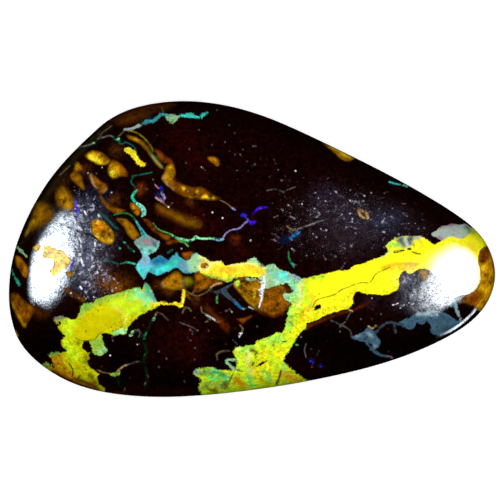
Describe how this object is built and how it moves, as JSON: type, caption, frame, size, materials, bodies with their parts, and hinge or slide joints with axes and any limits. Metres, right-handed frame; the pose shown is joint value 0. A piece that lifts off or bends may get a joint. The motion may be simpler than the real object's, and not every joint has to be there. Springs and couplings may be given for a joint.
{
  "type": "boulder opal cabochon",
  "caption": "Freeform teardrop stone, polished to a low dome in front and ground flat behind, with a thin rounded edge; it lies on its back or sits in a setting.",
  "frame": {"origin": "on the flat back, under the middle of the stone's bounding box", "axes": "+X along the stone from its blunt end to its narrow end, +Y across it, +Z out of the domed face"},
  "size_m": [0.024, 0.0146, 0.0048],
  "materials": {
    "opal_ironstone": "polished"
  },
  "bodies": {
    "root": {"stone": "opal_ironstone"}
  },
  "joints": []
}
